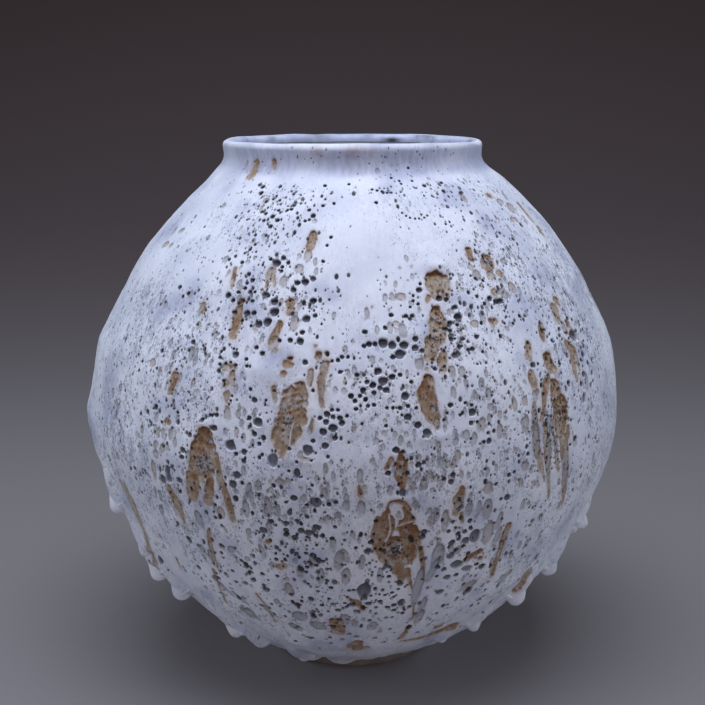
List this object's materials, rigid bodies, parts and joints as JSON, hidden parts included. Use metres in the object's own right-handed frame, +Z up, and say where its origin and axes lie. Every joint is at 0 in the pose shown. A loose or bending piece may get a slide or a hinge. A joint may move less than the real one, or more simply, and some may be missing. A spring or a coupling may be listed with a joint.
{
  "type": "moon jar",
  "caption": "Large, nearly spherical glazed stoneware jar with a short upright neck, rolled lip and small foot ring, coated in thick cratered white glaze; a free-standing vessel.",
  "frame": {"origin": "centre of the foot ring's resting plane, on the jar's axis", "axes": "+Z up the jar's axis of revolution; -Y is the pictured front; +X is the viewer's right"},
  "size_m": [0.4594, 0.4594, 0.452],
  "materials": {
    "bare_clay": "bare fired stoneware, dry and gritty",
    "bowl_clay": "fired stoneware, rough thrown surface",
    "slip": "fired joining slip, fine and matt",
    "liner_glaze": "thin blue-grey wash with dark bare patches",
    "neck_glaze": "smooth satin white glaze",
    "crater_glaze": "thick satin white glaze, pitted and crawled to tan clay",
    "drip_glaze": "smooth satin white beads"
  },
  "bodies": {
    "root": {"foot_ring": "bare_clay", "foot_slip": "slip", "lower_bowl": "bowl_clay", "waist_slip": "slip", "upper_bowl": "bowl_clay", "neck_slip": "slip", "neck_collar": "bowl_clay", "inner_glaze": "liner_glaze", "neck_glaze": "neck_glaze", "upper_glaze": "crater_glaze", "lower_glaze": "crater_glaze", "glaze_drips": "drip_glaze"}
  },
  "joints": []
}
